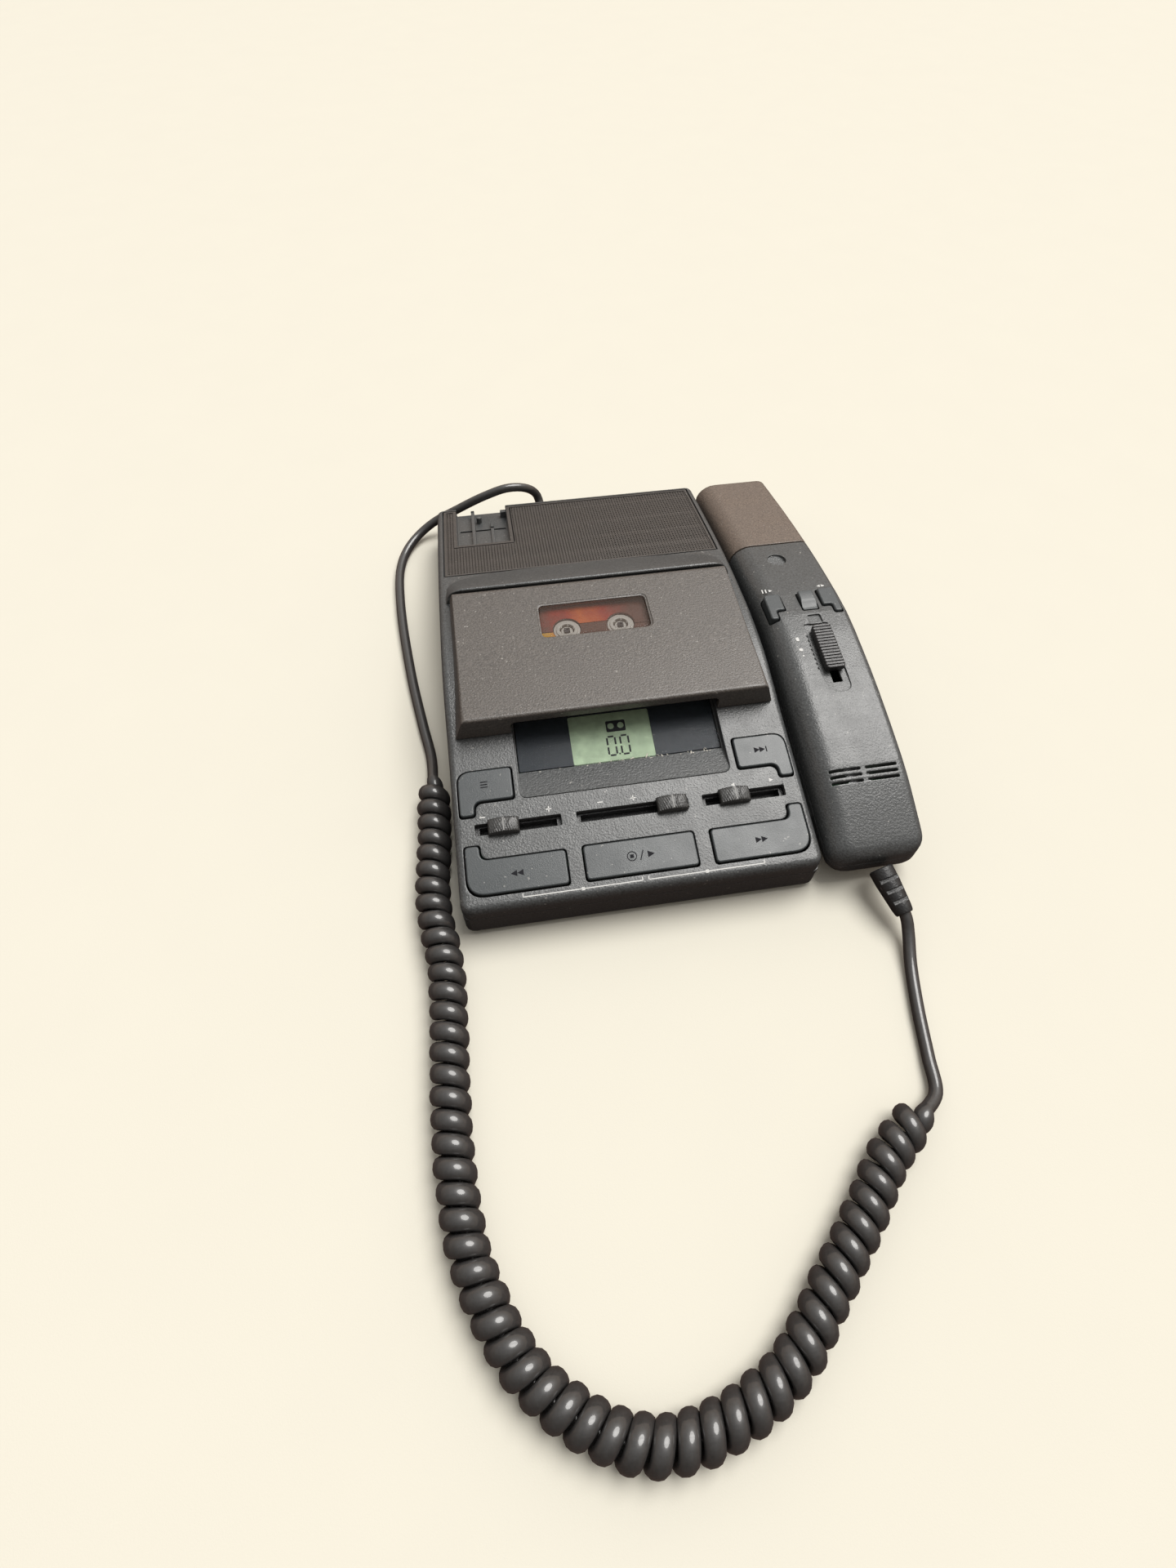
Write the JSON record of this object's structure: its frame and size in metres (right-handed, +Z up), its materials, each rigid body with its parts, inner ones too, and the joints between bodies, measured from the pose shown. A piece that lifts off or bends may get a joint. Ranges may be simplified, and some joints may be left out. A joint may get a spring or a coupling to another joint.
{
  "type": "desktop cassette dictation machine",
  "caption": "Desktop dictation machine: arched case, hinged cassette lid, display, press keys, slide controls, speaker grille and a cradled handset microphone on a coiled cord.",
  "frame": {"origin": "centre of the raised rating-plate field under the main unit, 3 mm above the desk that the feet stand on", "axes": "+X to the right, +Y to the rear, +Z up; the keys face -Y"},
  "size_m": [0.1885, 0.3691, 0.0432],
  "materials": {
    "case_plastic": "fine spark-eroded texture, warm dark grey",
    "lid_plastic": "fine texture, brownish dark grey",
    "grille_plastic": "perforated, brownish charcoal",
    "key_plastic": "satin, bluish grey",
    "black_plastic": "satin black",
    "steel": "plated",
    "brass": "turned",
    "rubber": "soft black rubber",
    "cord_jacket": "smooth polyurethane jacket",
    "circuit_board": "green solder mask",
    "display_glass": "liquid crystal display, yellow-green",
    "clear_window": "tinted clear acrylic",
    "cassette_plastic": "cassette housing with an orange label",
    "hub_plastic": "white hub with wound tape",
    "speaker_cone": "paper cone in a pressed frame"
  },
  "bodies": {
    "machine": {"base_shell": "case_plastic", "top_cover": "case_plastic", "speaker_grille": "grille_plastic", "loudspeaker": "speaker_cone", "lid_hinge_pin": "steel", "lid_catch": "steel", "cassette_shell": "cassette_plastic", "deck_plate": "steel", "motor": "steel", "drive_belt": "rubber", "main_board": "circuit_board", "key_board": "circuit_board", "display_window": "clear_window", "display_module": "display_glass", "speed_pot": "steel", "volume_pot": "steel", "tone_pot": "steel", "handset_socket": "black_plastic", "headset_socket": "black_plastic", "foot_control_socket": "black_plastic", "power_socket": "black_plastic", "foot_front_left": "rubber", "foot_front_right": "rubber", "foot_rear_left": "rubber", "foot_rear_right": "rubber", "case_screw_1": "steel", "case_screw_2": "steel", "case_screw_3": "steel", "case_screw_4": "steel", "cradle_cover": "case_plastic", "handset_cord": "cord_jacket", "cord_plug": "black_plastic"},
    "lid": {"cassette_lid": "lid_plastic", "lid_window": "clear_window"},
    "reel_left": {"tape_reel_left": "hub_plastic", "spindle_left": "black_plastic"},
    "reel_right": {"tape_reel_right": "hub_plastic", "spindle_right": "black_plastic"},
    "drive": {"drive_wheel": "black_plastic"},
    "motor_shaft": {"motor_pulley": "brass"},
    "head_slide": {"head_bridge": "steel", "playback_head": "steel", "erase_head": "black_plastic"},
    "stop_play": {"stop_play_key": "key_plastic"},
    "rewind": {"rewind_key": "key_plastic"},
    "wind": {"wind_key": "key_plastic"},
    "letter": {"letter_key": "key_plastic"},
    "search": {"search_key": "key_plastic"},
    "speed": {"speed_slider": "black_plastic"},
    "volume": {"volume_slider": "black_plastic"},
    "tone": {"tone_slider": "black_plastic"},
    "handset": {"handset_top_shell": "case_plastic", "handset_bottom_shell": "case_plastic", "handset_board": "circuit_board", "mic_capsule": "steel", "strain_relief": "black_plastic"},
    "handset_switch": {"handset_slide_switch": "black_plastic"},
    "record": {"record_button": "key_plastic"},
    "handset_left": {"handset_key_left": "key_plastic"},
    "handset_right": {"handset_key_right": "key_plastic"}
  },
  "joints": [
    {"name": "lid_hinge", "type": "hinge", "parent": "machine", "child": "lid", "pos_m": [0, 0.0213, 0.036], "axis": [-1, 0, 0], "range_deg": [0, 75]},
    {"name": "stop_play_press", "type": "slide", "parent": "machine", "child": "stop_play", "axis": [0, 0.1865, -0.9825], "range_m": [0, 0.0015]},
    {"name": "rewind_press", "type": "slide", "parent": "machine", "child": "rewind", "axis": [0, 0.1865, -0.9825], "range_m": [0, 0.0015]},
    {"name": "wind_press", "type": "slide", "parent": "machine", "child": "wind", "axis": [0, 0.1865, -0.9825], "range_m": [0, 0.0015]},
    {"name": "letter_press", "type": "slide", "parent": "machine", "child": "letter", "axis": [0, 0.1865, -0.9825], "range_m": [0, 0.0015]},
    {"name": "search_press", "type": "slide", "parent": "machine", "child": "search", "axis": [0, 0.1865, -0.9825], "range_m": [0, 0.0015]},
    {"name": "speed_slide", "type": "slide", "parent": "machine", "child": "speed", "axis": [1, 0, 0], "range_m": [-0.0045, 0.0145]},
    {"name": "volume_slide", "type": "slide", "parent": "machine", "child": "volume", "axis": [1, 0, 0], "range_m": [-0.0285, 0]},
    {"name": "tone_slide", "type": "slide", "parent": "machine", "child": "tone", "axis": [1, 0, 0], "range_m": [-0.0058, 0.0133]},
    {"name": "head_advance", "type": "slide", "parent": "machine", "child": "head_slide", "axis": [0, 1, 0], "range_m": [0, 0.003]},
    {"name": "drive_spin", "type": "hinge", "parent": "machine", "child": "drive", "pos_m": [-0.002, 0.01079, 0.021], "axis": [0, 0, 1], "continuous": true},
    {"name": "reel_left_spin", "type": "hinge", "parent": "machine", "child": "reel_left", "pos_m": [-0.01285, 0, 0.029], "axis": [0, 0, 1], "continuous": true},
    {"name": "reel_right_spin", "type": "hinge", "parent": "machine", "child": "reel_right", "pos_m": [0.00885, 0, 0.029], "axis": [0, 0, 1], "continuous": true},
    {"name": "motor_spin", "type": "hinge", "parent": "machine", "child": "motor_shaft", "pos_m": [0.03, 0.007, 0.018], "axis": [0, 0, 1], "continuous": true},
    {"name": "handset_lift", "type": "slide", "parent": "machine", "child": "handset", "axis": [0, 0, 1], "range_m": [0, 0.08]},
    {"name": "handset_switch_slide", "type": "slide", "parent": "handset", "child": "handset_switch", "axis": [0, 0.9962, 0.0872], "range_m": [-0.008, 0.002]},
    {"name": "record_press", "type": "slide", "parent": "handset", "child": "record", "axis": [0, 0, -1], "range_m": [0, 0.0015]},
    {"name": "handset_left_press", "type": "slide", "parent": "handset", "child": "handset_left", "axis": [0, 0, -1], "range_m": [0, 0.0015]},
    {"name": "handset_right_press", "type": "slide", "parent": "handset", "child": "handset_right", "axis": [0, 0, -1], "range_m": [0, 0.0015]}
  ],
  "couplings": [
    {"joint": "reel_left_spin", "follows": "drive_spin", "ratio": -0.875},
    {"joint": "reel_right_spin", "follows": "drive_spin", "ratio": -0.875},
    {"joint": "motor_spin", "follows": "drive_spin", "ratio": 3.3333}
  ]
}
